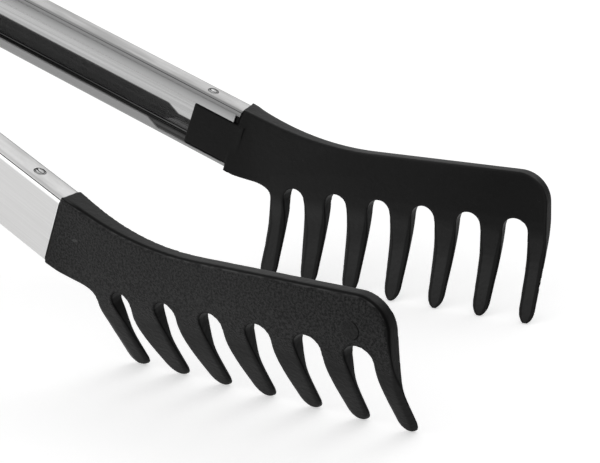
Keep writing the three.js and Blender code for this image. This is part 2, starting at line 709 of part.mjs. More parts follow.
// The spring wire: a leg along one arm's web, the coil, and a leg along the other's.
class SpringPath extends THREE.Curve {
  constructor() {
    super();
    this.spread = Math.tan(ARM_YAW) * LEG_LENGTH + WEB_OFFSET - SHEET - GAP - WIRE_RADIUS;
    this.coilLength = COIL_TURNS * 2 * Math.PI * COIL_RADIUS;
    this.total = this.coilLength + 2 * LEG_LENGTH;
  }

  getPoint(share, target = new THREE.Vector3()) {
    const along = share * this.total - LEG_LENGTH;
    const rise = (COIL_TURNS * COIL_PITCH) / 2;
    if (along < 0) {
      return this.leg(-along, 1, -rise, target);
    }
    if (along > this.coilLength) {
      return this.leg(along - this.coilLength, -1, rise, target);
    }
    const turn = Math.PI / 2 + along / COIL_RADIUS;
    const height = -rise + (COIL_PITCH * along) / (2 * Math.PI * COIL_RADIUS);
    return target.set(COIL_RADIUS * Math.cos(turn), COIL_RADIUS * Math.sin(turn), height);
  }

  leg(distance, side, height, target) {
    const share = distance / LEG_LENGTH;
    const ease = LEG_BOW * THREE.MathUtils.smoothstep(share, 0, 1) + (1 - LEG_BOW) * share;
    return target.set(distance, side * (COIL_RADIUS + ease * (this.spread - COIL_RADIUS)), height);
  }
}

function torsionSpring() {
  const ring = new THREE.Shape();
  ring.absarc(0, 0, WIRE_RADIUS, 0, 2 * Math.PI);
  return new THREE.ExtrudeGeometry(ring, {
    steps: 100,
    curveSegments: 4,
    bevelEnabled: false,
    extrudePath: new SpringPath(),
  });
}

// One leaf of the lock: an eye that slides on the rivet, a shank, and a bar with two barbs.
function lockLeafShape() {
  const shape = new THREE.Shape();
  const eye = LOCK_EYE_WIDTH / 2;
  const shank = LOCK_SHANK_WIDTH / 2;
  const barStart = barbWindow + LOCK_PLAY + LOCK_TRAVEL;
  const barEnd = barStart + LOCK_BAR;
  const barbTip = barStart - BARB_LENGTH;
  const outer = BARB_INSIDE + BARB_WIDTH;
  shape.moveTo(-LOCK_BACK, -eye);
  shape.lineTo(LOCK_EYE_REACH - LOCK_EYE_TAPER, -eye);
  shape.lineTo(LOCK_EYE_REACH, -shank);
  shape.lineTo(barStart, -shank);
  shape.lineTo(barStart, -BARB_INSIDE);
  shape.lineTo(barbTip, -BARB_INSIDE);
  shape.lineTo(barbTip + BARB_WIDTH, -outer);
  shape.lineTo(barEnd - LOCK_CORNER, -outer);
  shape.lineTo(barEnd, -outer + LOCK_CORNER);
  shape.lineTo(barEnd, outer - LOCK_CORNER);
  shape.lineTo(barEnd - LOCK_CORNER, outer);
  shape.lineTo(barbTip + BARB_WIDTH, outer);
  shape.lineTo(barbTip, BARB_INSIDE);
  shape.lineTo(barStart, BARB_INSIDE);
  shape.lineTo(barStart, shank);
  shape.lineTo(LOCK_EYE_REACH, shank);
  shape.lineTo(LOCK_EYE_REACH - LOCK_EYE_TAPER, eye);
  shape.lineTo(-LOCK_BACK, eye);
  const slot = new THREE.Path();
  const slotRadius = RIVET_RADIUS + RUNNING_GAP;
  slot.absarc(0, 0, slotRadius, Math.PI / 2, Math.PI * 1.5);
  slot.absarc(LOCK_TRAVEL, 0, slotRadius, -Math.PI / 2, Math.PI / 2);
  shape.holes.push(slot);
  return shape;
}

function lockSlider() {
  const leaf = lockLeafShape();
  const eye = LOCK_EYE_WIDTH / 2;
  const back = -LOCK_BACK;
  const outside = back - LOCK_SHEET;
  const bridge = box([outside, -eye, -lockPlateTop], [back + SEAM, eye, lockPlateTop]);
  const tongue = box(
    [outside - TONGUE_LENGTH, -LOCK_SHEET / 2, -TONGUE_HEIGHT / 2],
    [outside + SEAM, LOCK_SHEET / 2, TONGUE_HEIGHT / 2],
  );
  return prism(leaf, "plan", lockPlateBottom, lockPlateTop, 10)
    .add(prism(leaf, "plan", -lockPlateTop, -lockPlateBottom, 10))
    .add(bridge)
    .add(tongue)
    .subtract(tabRivetBore());
}

const tabFront = -LOCK_BACK - LOCK_SHEET - GAP;
const tabRivetX = tabFront - TONGUE_LENGTH / 2;

function tabRivetBore() {
  return cylinder(TAB_RIVET_RADIUS + RUNNING_GAP, -TAB_HEIGHT, TAB_HEIGHT)
    .rotate([90, 0, 0])
    .translate(tabRivetX, 0, 0);
}

function pullTab() {
  const shape = new THREE.Shape();
  const half = TAB_HEIGHT / 2;
  const back = tabFront - TAB_LENGTH;
  const corner = TAB_CORNER;
  shape.moveTo(tabFront, -half + corner);
  shape.absarc(tabFront - corner, half - corner, corner, 0, Math.PI / 2);
  shape.absarc(back + half, 0, half, Math.PI / 2, Math.PI * 1.5);
  shape.absarc(tabFront - corner, -half + corner, corner, -Math.PI / 2, 0);
  const hole = new THREE.Path();
  const holeBack = back + half;
  const holeFront = holeBack + TAB_HOLE_SPREAD;
  hole.absarc(holeBack, 0, TAB_HOLE_RADIUS, Math.PI / 2, Math.PI * 1.5);
  hole.absarc(holeFront, 0, TAB_HOLE_RADIUS, -Math.PI / 2, Math.PI / 2);
  shape.holes.push(hole);
  const thick = TAB_THICKNESS / 2;
  const pocket = box(
    [tabFront - TONGUE_LENGTH - GAP, -LOCK_SHEET / 2 - GAP, -TONGUE_HEIGHT / 2 - GAP],
    [tabFront + CUT_MARGIN, LOCK_SHEET / 2 + GAP, TONGUE_HEIGHT / 2 + GAP],
  );
  return prism(shape, "side", -thick, thick, 10).subtract(pocket).subtract(tabRivetBore());
}

function tabRivet() {
  const seat = TAB_THICKNESS / 2 + GAP;
  const end = seat + TAB_RIVET_HEAD_HEIGHT;
  const crown = TAB_RIVET_HEAD_RADIUS * HEAD_CROWN;
  return revolve([
    [0, -end],
    [crown, -end],
    [TAB_RIVET_HEAD_RADIUS, -seat],
    [TAB_RIVET_RADIUS, -seat],
    [TAB_RIVET_RADIUS, seat],
    [TAB_RIVET_HEAD_RADIUS, seat],
    [crown, end],
    [0, end],
  ], 24)
    .rotate([90, 0, 0])
    .translate(tabRivetX, 0, 0);
}

// ---- assembly ----

// Rows of the heads' tips stand on the ground when the arms slope by this much.
const headYaw = ARM_YAW - HEAD_TOE;
const restPitch = Math.atan(Math.tan(HEAD_PITCH) / Math.cos(headYaw));

// A point of the front head, in the frame of the hinge.
function headPoint(along, inward, up) {
  const point = new THREE.Vector3(along, inward, up);
  point.applyAxisAngle(Y, -HEAD_PITCH);
  point.applyAxisAngle(Z, HEAD_TOE);
  point.add(new THREE.Vector3(ARM_LENGTH, webOutside, -HEAD_DROP));
  return point.applyAxisAngle(Z, -ARM_YAW);
}

// The same point with the tongs standing, before they are lifted and centred.
function standing(point) {
  return point.applyAxisAngle(Y, restPitch);
}

const lowest = standing(headPoint(headLength, TIP_CURL, -TIP_DEPTH)).z;
const front = standing(headPoint(headLength, 0, -HEAD_CORNER)).x;
const rear = standing(new THREE.Vector3(tabFront - TAB_LENGTH, 0, 0)).x;

const tongs = new THREE.Group();
const hinge = new THREE.Group();
hinge.rotation.y = restPitch;
hinge.position.set(-(front + rear) / 2, 0, -lowest);
tongs.add(hinge);

function addArm(name, side, necked) {
  const arm = new THREE.Group();
  arm.rotation.z = side * ARM_YAW;
  hinge.add(arm);
  const hand = new THREE.Group();
  hand.scale.y = -side;
  arm.add(hand);
  piece(`${name}_arm`, armBody(necked), steel, hand);
  piece(`${name}_head`, headBody(), nylon, hand);
  piece(`${name}_head_pin`, headPin(), brightSteel, hand);
}

addArm("front", -1, false);
addArm("rear", 1, true);
piece("hinge_rivet", hingeRivet(), brightSteel, hinge);
piece("spring_sleeve", springSleeve(), nylon, hinge);
piece("torsion_spring", torsionSpring(), springSteel, hinge);
piece("lock_slider", lockSlider(), steel, hinge);
piece("pull_tab", pullTab(), nylon, hinge);
piece("tab_rivet", tabRivet(), brightSteel, hinge);

export default tongs;
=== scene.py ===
"""Looks for a pair of spring loaded kitchen tongs with comb heads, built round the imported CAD.

The CAD's row frame is in metres, and so are the places of the camera and the lamps. The frames of
the hinge, the arms and the heads are in millimetres, and so are the lengths below.
"""

import json
import math

import bmesh
import bpy
import numpy as np
from mathutils import Matrix, Vector


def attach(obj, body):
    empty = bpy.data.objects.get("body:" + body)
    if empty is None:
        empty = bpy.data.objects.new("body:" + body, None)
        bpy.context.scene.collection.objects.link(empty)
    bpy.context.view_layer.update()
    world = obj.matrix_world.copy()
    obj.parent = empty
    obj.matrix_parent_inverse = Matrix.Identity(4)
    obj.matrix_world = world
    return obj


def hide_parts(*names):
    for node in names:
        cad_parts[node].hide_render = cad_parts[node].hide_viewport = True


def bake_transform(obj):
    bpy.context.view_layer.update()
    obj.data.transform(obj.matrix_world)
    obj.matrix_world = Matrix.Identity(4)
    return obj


MM = 0.001

# ---- the CAD's own dimensions, repeated in millimetres and radians ----
ARM_LENGTH = 262.0
ARM_HEIGHT = 17.7
ARM_DEPTH = 6.9
SHEET = 0.8
WEB_OFFSET = 10.1
ARM_YAW = math.radians(6.52)
HEAD_PITCH = math.radians(23.41)
HEAD_TOE = math.radians(4.57)
HEAD_DROP = 0.6
WIRE_RADIUS = 0.8
COIL_RADIUS = 4.1
COIL_PITCH = 1.95
COIL_TURNS = 4.5
COIL_LENGTH = COIL_TURNS * 2 * math.pi * COIL_RADIUS
LEG_LENGTH = 30.0
LEG_BOW = 0.35
LEG_GAP = 0.3  # between a leg and its web
PIN_SETBACK = 10.3  # from the arm's end
PIN_DEPTH = 3.6  # from the web's outer face
TEETH = 7
FIRST_ROOT = 11.2  # the first tooth's middle at its root and at its tip
FIRST_TIP = 12.5
ROOT_PITCH = 12.28
TIP_PITCH = 12.0
SLOT_TOP = -11.6  # height of the slots' tops and of the tips
TIP_TOP = -35.0

# ---- meshes ----
WELD_REACH = 1e-6  # metres
HEAD_MESH = (0.22, 12)  # voxel, and rounds of easing
TAB_MESH = (0.3, 8)
EASE_LEVELS = 20
EASE_FACTOR = 0.5
EASE_RUN = 3.0
LEAST_EASE = 0.15
SHOULDER_END = 1.5  # along the head, past the arm's end
SHOULDER_FADE = 1.3
SHOULDER_STEP = 0.24
BEVEL_SEGMENTS = 2
BEVEL_ANGLE = math.radians(50)
FLAT_ANGLE = math.radians(0.5)
ARM_BEVEL = 0.12
LOCK_BEVEL = 0.1
RIVET_BEVEL = 0.1
TAB_RIVET_BEVEL = 0.08
SLEEVE_BEVEL = 0.05

# ---- fuller teeth: shares by which a tooth's sides move out from its middle ----
FULLER = 0.09
FIRST_FULLER = 0.42  # added for the first tooth, and less for each one after it
FULLER_SIDES = {"front": (0.14, 1.0), "rear": (0.0, 0.2)}  # at the tips, and the far side's
TOOTH_REACH = 4.0  # the farthest from its middle that counts
ROOT_EASE = 10.0
TEETH_START = 2.0

# ---- pins and spring ----
LATHE_STEPS = 48
PIN_SHARP = math.radians(40)
PIN_END = ((0.0, -0.24), (0.6, -0.2), (0.9, -0.06), (1.05, 0.0), (1.2, 0.0), (1.3, -0.1))
SLIT_HALF = (1.15, 0.17, 0.45)
# radius of a patchy darker ring on the pins' ends
DARK_RING_RADIUS = 1.05
PIN_STEEL = (0.5, 0.2)  # tone and roughness
RIVET_STEEL = (0.68, 0.14)
WIRE_STEPS = 150
WIRE_SIDES = 14
WIRE_SHRINK = 0.01  # keeps the wire inside the CAD's box
WIRE_SHARP = math.radians(50)

# ---- tones, from 0 for black to 1 for white ----
SATIN_BLACK = (0.0025, 0.0055)
GRAIN_BLACK = (0.0015, 0.038)  # in the pits and on the crests
SPECK_TONE = 0.03
# painted highlight: the small lighter spot where light catches a nick
NICK_HIGHLIGHT_TONE = 0.07
EJECTOR_TONE = 0.012
EJECTOR_SHADOW_TONE = 0.001
STEEL_TINTS = (0.006, 0.004)
WEB_TONES = (0.5, 0.72)
# painted light: one steel, its flanges painted darker on the rear arm and lighter on the lit front
# arm
SHADED_FLANGE_TONES = (0.36, 0.6)
LIT_FLANGE_TONES = (0.46, 0.7)
MOTTLE_LIFT = 0.04
MOTTLE_TINT = 0.005
# painted shade: the lips are the same steel as the web, painted darker
LIP_SHADE_TONES = (0.43, 0.24)  # at its foot and at its edge
LOWER_LIP_SHADE_TONE = 0.27
# painted shade: the dark rim along the unlit arm's upper outer bend
RIM_SHADE_TONE = 0.28
# painted shade: the darker line in the lit arm's upper bend
CREASE_SHADE_TONE = 0.3
GLINT_TONE = 0.97
SHADED_TONES = (0.02, 0.11)
BRIGHT_TONES = (0.44, 0.57)
# tone of the patchy darker ring on the pins' ends
DARK_RING_TONE = 0.09
WIRE_TONES = (0.44, 0.56)
WIRE_TINTS = (0.01, 0.01)
TURNED_SPREAD = (0.93, 1.05)  # of a turned part's tone

# ---- marks on the front head: an ejector mark with a painted shadow and a nick with a painted highlight; places along and up, and sizes ----
EJECTOR = (77.7, -8.0)
EJECTOR_RADIUS = 2.35
EJECTOR_FADE = 0.15
EJECTOR_RING = (1.95, 2.1)
EJECTOR_FAR_SIDE = (77.2, 79.2)
NICK = (3.1, -0.6)  # with the place along it shrunk too
NICK_SHRINK = 0.45  # of lengths along the head, so that the nick is longer than it is high
NICK_FADE = (0.5, 0.2)

# ---- camera, in metres from the hinge ----
CAMERA_FROM_HINGE = Vector((0.45448, -0.28129, 0.01596))
CAMERA_AZIMUTH = math.radians(32.024)
CAMERA_ELEVATION = math.radians(20.94)
CAMERA_ROLL = math.radians(-3.139)
CAMERA_LENS = 91.287
CAMERA_CLIP = (0.01, 20)
SENSOR_WIDTH = 36.0

# ---- light, with places and sizes in metres ----
WORLD_LEVEL = 0.6  # what lights the object; what is seen or reflected is white
FLOOR_REACH = 4.0
FLOOR_CORNERS = ((-1, -1), (1, -1), (1, 1), (-1, 1))
FLOOR_COLOR = 0.82
FLOOR_LIFT = 0.5  # light added to the floor where it is seen
LIGHT_TARGET = (0.06, 0, 0.05)
KEY_PLACE, KEY_SIZE, KEY_POWER = (0.55, 1.0, 1.15), (0.9, 0.9), 2.6
FILL_PLACE, FILL_SIZE, FILL_POWER = (-0.9, -0.9, 1.0), (1.1, 0.8), 2.2

SIDES = {"front": 1, "rear": -1}

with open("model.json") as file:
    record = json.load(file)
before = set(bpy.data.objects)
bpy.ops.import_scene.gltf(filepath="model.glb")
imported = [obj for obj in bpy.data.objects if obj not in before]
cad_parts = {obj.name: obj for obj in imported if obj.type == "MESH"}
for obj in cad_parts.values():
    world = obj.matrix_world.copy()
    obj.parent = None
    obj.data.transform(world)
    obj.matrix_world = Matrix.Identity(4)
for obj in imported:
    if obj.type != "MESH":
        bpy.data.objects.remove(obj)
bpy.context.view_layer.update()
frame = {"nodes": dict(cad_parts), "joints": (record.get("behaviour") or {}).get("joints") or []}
nodes = frame["nodes"]
hinge_joint = next(j for j in frame["joints"] if j["name"] == "front_arm_squeeze")
HINGE = Vector(hinge_joint["pos_m"])
REST_PITCH = math.atan2(hinge_joint["axis"][0], hinge_joint["axis"][2])


# ---- frames of the arms and heads ----


def hinge_frame():
    """From the hinge's frame in millimetres to the row frame in metres."""
    turn = Matrix.Rotation(REST_PITCH, 4, "Y")
    return Matrix.Translation(HINGE) @ turn @ Matrix.Scale(MM, 4)


def mirrored(side):
    return Matrix.Diagonal((1, side, 1, 1))


def arm_frame(side):
    """The front arm is side 1 and the rear arm, its mirror image, is side -1."""
    inner = Matrix.Rotation(-ARM_YAW, 4, "Z")
    return mirrored(side) @ hinge_frame() @ inner


def head_frame(side):
    """x runs along the head, y inward from its outer face, and z up from its top line."""
    turn = Matrix.Rotation(HEAD_TOE, 4, "Z") @ Matrix.Rotation(-HEAD_PITCH, 4, "Y")
    place = Matrix.Translation((ARM_LENGTH, -WEB_OFFSET, -HEAD_DROP))
    return arm_frame(side) @ place @ turn


# ---- material nodes ----

# a mix node's sockets for A, B and the result
COLOR_SOCKETS = (6, 7, 2)
FLOAT_SOCKETS = (2, 3, 0)


class Tree:
    """Short ways to add and join nodes in one material."""

    def __init__(self, name):
        self.material = bpy.data.materials.new(name)
        self.material.use_nodes = True
        self._start(self.material.node_tree, "ShaderNodeOutputMaterial")

    @classmethod
    def over(cls, world):
        tree = cls.__new__(cls)
        tree._start(world.node_tree, "ShaderNodeOutputWorld")
        return tree

    def _start(self, node_tree, output_kind):
        self.nodes = node_tree.nodes
        self.links = node_tree.links
        self.nodes.clear()
        self.output = self.nodes.new(output_kind)

    def node(self, kind, inputs=None, **settings):
        made = self.nodes.new(kind)
        for key, value in settings.items():
            setattr(made, key, value)
        for key, value in (inputs or {}).items():
            self.put(made.inputs[key], value)
        return made

    def put(self, socket, value):
        if isinstance(value, bpy.types.NodeSocket):
            self.links.new(value, socket)
        else:
            socket.default_value = value

    def math(self, operation, a, b=0.0, c=0.0):
        made = self.node("ShaderNodeMath", operation=operation)
        for socket, value in zip(made.inputs, (a, b, c)):
            self.put(socket, value)
        return made.outputs[0]

    def product(self, first, *others):
        for other in others:
            first = self.math("MULTIPLY", first, other)
        return first

    def ramp(self, value, low, high, to_low=0.0, to_high=1.0):
        """Maps a value from low..high to to_low..to_high, smoothly, and holds it at both ends."""
        made = self.node(
            "ShaderNodeMapRange",
            {"Value": value, "From Min": low, "From Max": high},
            interpolation_type="SMOOTHSTEP",
        )
        self.put(made.inputs["To Min"], to_low)
        self.put(made.inputs["To Max"], to_high)
        return made.outputs[0]

    def band(self, value, start, full, end, stop):
        """1 from full to end, and down to 0 at start and at stop."""
        return self.product(self.ramp(value, start, full), self.ramp(value, stop, end))

    def mix_color(self, share, a, b):
        return self._mix("RGBA", COLOR_SOCKETS, share, a, b)

    def mix(self, share, a, b):
        return self._mix("FLOAT", FLOAT_SOCKETS, share, a, b)

    def _mix(self, data_type, sockets, share, a, b):
        first, second, result = sockets
        made = self.node("ShaderNodeMix", {"Factor": share}, data_type=data_type)
        self.put(made.inputs[first], a)
        self.put(made.inputs[second], b)
        return made.outputs[result]

    def lifted(self, value, share, amount):
        """The value with a share of an amount added."""
        return self.math("MULTIPLY_ADD", share, amount, value)

    def dimmed(self, value, share, part):
        """The value without a share of a part of it."""
        return self.product(value, self.math("MULTIPLY_ADD", share, -part, 1.0))

    def place(self, frame_matrix):
        """Coordinates of the shaded point in a frame, in millimetres."""
        inverse = frame_matrix.inverted()
        point = self.node("ShaderNodeTexCoord").outputs["Object"]
        return self._through(inverse, point, 1.0)

    def direction(self, frame_matrix):
        """The surface normal in a frame."""
        turn = frame_matrix.inverted().to_3x3() * MM
        normal = self.node("ShaderNodeTexCoord").outputs["Normal"]
        return self._through(turn.to_4x4(), normal, 0.0)

    def _through(self, matrix, vector, move):
        axes = []
        for row in range(3):
            along = tuple(matrix[row][column] for column in range(3))
            dot = self.node("ShaderNodeVectorMath", operation="DOT_PRODUCT")
            self.put(dot.inputs[0], vector)
            self.put(dot.inputs[1], along)
            axes.append(self.math("ADD", dot.outputs["Value"], matrix[row][3] * move))
        joined = self.node("ShaderNodeCombineXYZ")
        for socket, value in zip(joined.inputs, axes):
            self.put(socket, value)
        return joined.outputs[0], axes

    def stretched(self, vector, scale):
        made = self.node("ShaderNodeMapping", {"Vector": vector, "Scale": scale})
        return made.outputs[0]

    def noise(self, vector, scale, detail=2.0, roughness=0.5):
        inputs = {"Vector": vector, "Scale": scale, "Detail": detail, "Roughness": roughness}
        return self.node("ShaderNodeTexNoise", inputs).outputs["Fac"]

    def distance(self, a, b, at_a, at_b):
        """How far two coordinates are from a point."""
        across = self.math("SUBTRACT", a, at_a)
        down = self.math("SUBTRACT", b, at_b)
        squares = self.math("MULTIPLY_ADD", across, across, self.math("MULTIPLY", down, down))
        return self.math("SQRT", squares)

    def bump(self, height, depth_mm):
        inputs = {"Height": height, "Strength": 1.0, "Distance": depth_mm * MM}
        return self.node("ShaderNodeBump", inputs).outputs[0]

    def mix_shader(self, share, a, b):
        made = self.node("ShaderNodeMixShader")
        for socket, value in zip(made.inputs, (share, a, b)):
            self.put(socket, value)
        return made.outputs[0]

    def show(self, shader):
        self.links.new(shader, self.output.inputs["Surface"])

    def surface(self, color, roughness, normal, metallic=0.0, shine=0.5):
        inputs = {
            "Base Color": color,
            "Roughness": roughness,
            "Normal": normal,
            "Metallic": metallic,
            "Specular IOR Level": shine,
        }
        self.show(self.node("ShaderNodeBsdfPrincipled", inputs).outputs[0])
        return self.material


def grey(level, tint=0.0):
    """A near-grey colour: a positive tint is warmer and a negative one cooler."""
    return (level * (1 + tint), level, level * (1 - tint), 1)


def greys(levels, tints=(0.0, 0.0)):
    return [grey(level, tint) for level, tint in zip(levels, tints)]


# ---- materials ----


def nylon(name, frame_matrix, grained=True, marked=False):
    """Black moulded nylon: spark-eroded grain on the outside, satin inside and on the edges."""
    tree = Tree(name)
    point, (along, _, up) = tree.place(frame_matrix)
    _, facing = tree.direction(frame_matrix)
    outward = 0.0
    if grained:
        off_the_teeth = tree.ramp(up, -19.0, -11.0)
        outward = tree.product(tree.ramp(facing[1], -0.8, -0.96), off_the_teeth)

    pebble = tree.noise(point, 1.9, detail=3.0, roughness=0.68)
    fine = tree.noise(point, 6.0, detail=1.0)
    satin = tree.noise(point, 0.9)
    cloud = tree.noise(point, 0.06, detail=3.0, roughness=0.6)
    satin_black = tree.mix_color(cloud, *greys(SATIN_BLACK))
    crest = tree.ramp(pebble, 0.36, 0.66)
    grain_black = tree.mix_color(crest, *greys(GRAIN_BLACK))
    black = tree.mix_color(outward, satin_black, grain_black)
    speck = tree.ramp(tree.noise(point, 1.7, roughness=0.7), 0.735, 0.76)
    color = tree.mix_color(speck, black, grey(SPECK_TONE))
    satin_roughness, grain_roughness, unevenness = 0.38, 0.56, 0.12
    roughness = tree.mix(outward, satin_roughness, grain_roughness)
    roughness = tree.lifted(roughness, cloud, unevenness)

    shine = nylon_shine(tree, point, along, up, facing, outward, grained)
    if marked:
        color, shine = ejector_mark(tree, along, up, color, shine)
        # painted highlight: a small lighter spot where light catches a nick in the moulding
        across = tree.product(along, NICK_SHRINK)
        nick_highlight = tree.ramp(tree.distance(across, up, *NICK), *NICK_FADE)
        color = tree.mix_color(nick_highlight, color, grey(NICK_HIGHLIGHT_TONE))

    fine_share, satin_share, relief = 0.3, 0.12, 0.7
    grain = tree.product(tree.lifted(pebble, fine, fine_share), outward)
    height = tree.lifted(grain, satin, satin_share)
    return tree.surface(color, roughness, tree.bump(height, relief), shine=shine)


def nylon_shine(tree, point, along, up, facing, outward, grained):
    """The specular level: less on walls between teeth, more along worn edges."""
    satin, grain, between_teeth, underside = 0.2, 0.25, 0.05, 0.06
    crown_lift, edge_lift, crease_loss = 0.15, 0.32, 0.7
    across = tree.math("ABSOLUTE", facing[0])
    shine = tree.mix(tree.ramp(across, 0.45, 0.9), tree.mix(outward, satin, grain), between_teeth)
    if grained:
        toward_end = tree.ramp(along, 45.0, 84.0, 1.0, 0.72)
        from_arm = tree.ramp(along, -2.0, 12.0, 0.7, 1.0)
        shine = tree.product(shine, toward_end, from_arm)
        on_tooth = tree.ramp(up, -13.0, -18.0)
        inner_side = tree.ramp(facing[1], 0.3, 0.8)
        crown = tree.product(tree.ramp(across, 0.1, 0.0), on_tooth, inner_side)
        shine = tree.lifted(shine, crown, crown_lift)
        patches = tree.noise(tree.stretched(point, (0.5, 1.5, 1.5)), 1.0, detail=3.0)
        edge = tree.product(
            tree.band(facing[1], -0.96, -0.86, -0.7, -0.55),
            tree.ramp(facing[2], 0.2, 0.45),
            tree.ramp(patches, 0.35, 0.6),
        )
        shine = tree.lifted(shine, edge, edge_lift)
        crease = tree.band(facing[1], -0.62, -0.45, -0.3, -0.1)
        shine = tree.dimmed(shine, crease, crease_loss)
    return tree.mix(tree.ramp(facing[2], -0.1, -0.6), shine, underside)


def ejector_mark(tree, along, up, color, shine):
    """A round mark: a duller disc, in shadow at its far side and lighter at its near one."""
    radius = tree.distance(along, up, *EJECTOR)
    inside = tree.ramp(radius, EJECTOR_RADIUS, EJECTOR_RADIUS - EJECTOR_FADE)
    ring = tree.product(inside, tree.ramp(radius, *EJECTOR_RING))
    far_side = tree.ramp(along, *EJECTOR_FAR_SIDE)
    shadow = tree.product(ring, far_side)
    light = tree.product(ring, tree.math("SUBTRACT", 1.0, far_side))
    cover, shadow_loss, light_lift = 0.6, 0.75, 0.1
    color = tree.mix_color(tree.product(inside, cover), color, grey(EJECTOR_TONE))
    color = tree.mix_color(shadow, color, grey(EJECTOR_SHADOW_TONE))
    shine = tree.dimmed(shine, shadow, shadow_loss)
    return color, tree.lifted(shine, light, light_lift)


def arm_steel(name, frame_matrix, lit_arm=False):
    """Stainless sheet, brushed along its length outside and left bright inside the channel; its
    outside tones carry painted shade, and on the lit arm a painted glint.
    """
    tree = Tree(name)
    point, (_, inward, up) = tree.place(frame_matrix)
    _, facing = tree.direction(frame_matrix)
    depth = tree.math("ADD", inward, WEB_OFFSET)
    aside = tree.math("ABSOLUTE", up)
    inside = tree.product(
        tree.math("GREATER_THAN", depth, SHEET / 2),
        tree.math("LESS_THAN", depth, ARM_DEPTH - SHEET / 2),
        tree.math("LESS_THAN", aside, ARM_HEIGHT / 2 - SHEET / 2),
    )
    lines = tree.noise(tree.stretched(point, (0.05, 5.0, 5.0)), 1.0, detail=3.0, roughness=0.7)
    fine_lines = tree.noise(tree.stretched(point, (0.25, 17.0, 17.0)), 1.0, detail=1.0)
    cloud_point = tree.stretched(point, (0.05, 0.3, 0.3))
    cloud = tree.noise(cloud_point, 1.0, detail=3.0, roughness=0.6)

    outside = brushed_tones(tree, point, up, facing, lines, cloud, lit_arm)
    color = tree.mix_color(inside, outside, bright_tones(tree, point, depth, aside))
    brushed, brush_range, polished, polish_range = 0.26, 0.16, 0.02, 0.02
    outside_roughness = tree.lifted(brushed, lines, brush_range)
    inside_roughness = tree.lifted(polished, cloud, polish_range)
    roughness = tree.mix(inside, outside_roughness, inside_roughness)
    inside_metallic = 0.82
    coarse_share, fine_share, relief = 0.6, 0.4, 0.012
    groove = tree.lifted(tree.product(lines, coarse_share), fine_lines, fine_share)
    groove = tree.product(groove, tree.math("SUBTRACT", 1.0, inside))
    metallic = tree.mix(inside, 1.0, inside_metallic)
    return tree.surface(color, roughness, tree.bump(groove, relief), metallic=metallic)


def brushed_tones(tree, point, up, facing, lines, cloud, lit_arm):
    """The outside: the web, the flanges round it, the lips and the bends between them, with
    painted shade on the lips and the bends, and on the lit arm lighter flanges and a painted
    glint.
    """
    web = tree.mix_color(lines, *greys(WEB_TONES, STEEL_TINTS))
    # painted light: the same steel's flanges are lighter on the lit arm than on the other
    tones = LIT_FLANGE_TONES if lit_arm else SHADED_FLANGE_TONES
    flange = tree.mix_color(tree.ramp(cloud, 0.3, 0.7), *greys(tones, STEEL_TINTS))
    mottle_cover, rim_shade_cover, crease_shade_cover, glint_cover = 0.5, 0.8, 0.25, 0.85
    mottle = tree.product(tree.noise(point, 1.4, roughness=0.7), mottle_cover)
    flange = tree.mix_color(mottle, flange, grey(tones[0] + MOTTLE_LIFT, MOTTLE_TINT))
    reach = (0.5, 0.95) if lit_arm else (-0.1, 0.3)
    outside = tree.mix_color(tree.ramp(facing[2], *reach), web, flange)

    # painted shade: the lips darker than the web, the upper one darkest toward its edge
    edge, lip_foot, lip_edge = ARM_HEIGHT / 2, 3.8, 0.4
    lip_shade = tree.ramp(up, edge - lip_foot, edge - lip_edge, *LIP_SHADE_TONES)
    lip_shade = tree.mix(tree.ramp(up, -1.0, 1.0), LOWER_LIP_SHADE_TONE, lip_shade)
    outside = tree.mix_color(tree.ramp(facing[1], 0.1, 0.5), outside, lip_shade)

    if not lit_arm:
        # painted shade: a dark rim along the bend from the top flange to the outer web
        rim = tree.product(tree.ramp(facing[1], -0.1, -0.4), tree.ramp(facing[2], 0.1, 0.35))
        return tree.mix_color(tree.product(rim, rim_shade_cover), outside, grey(RIM_SHADE_TONE))
    away = tree.math("MULTIPLY", facing[1], -1.0)
    upper = tree.ramp(up, 0.0, 1.0)
    # painted shade: a darker line across the upper bend, beside the painted glint
    crease = tree.product(tree.band(away, 0.08, 0.3, 0.45, 0.62), upper)
    outside = tree.mix_color(tree.product(crease, crease_shade_cover), outside, grey(CREASE_SHADE_TONE))
    glint = tree.product(tree.band(away, 0.6, 0.72, 0.95, 0.999), upper)
    return tree.mix_color(tree.product(glint, glint_cover), outside, grey(GLINT_TONE))


def bright_tones(tree, point, depth, aside):
    """The inside, with soft streaks along it: the web is bright and the rest is in shade."""
    bend, web_depth = 1.6, SHEET * 1.15
    flat = tree.math("LESS_THAN", aside, ARM_HEIGHT / 2 - bend)
    web_side = tree.product(flat, tree.math("LESS_THAN", depth, web_depth))
    streak = tree.noise(tree.stretched(point, (0.008, 1.1, 1.1)), 1.0, detail=3.0, roughness=0.6)
    streak = tree.ramp(streak, 0.35, 0.65)
    shaded = tree.mix_color(streak, *greys(SHADED_TONES))
    bright = tree.mix_color(streak, *greys(BRIGHT_TONES))
    return tree.mix_color(web_side, shaded, bright)


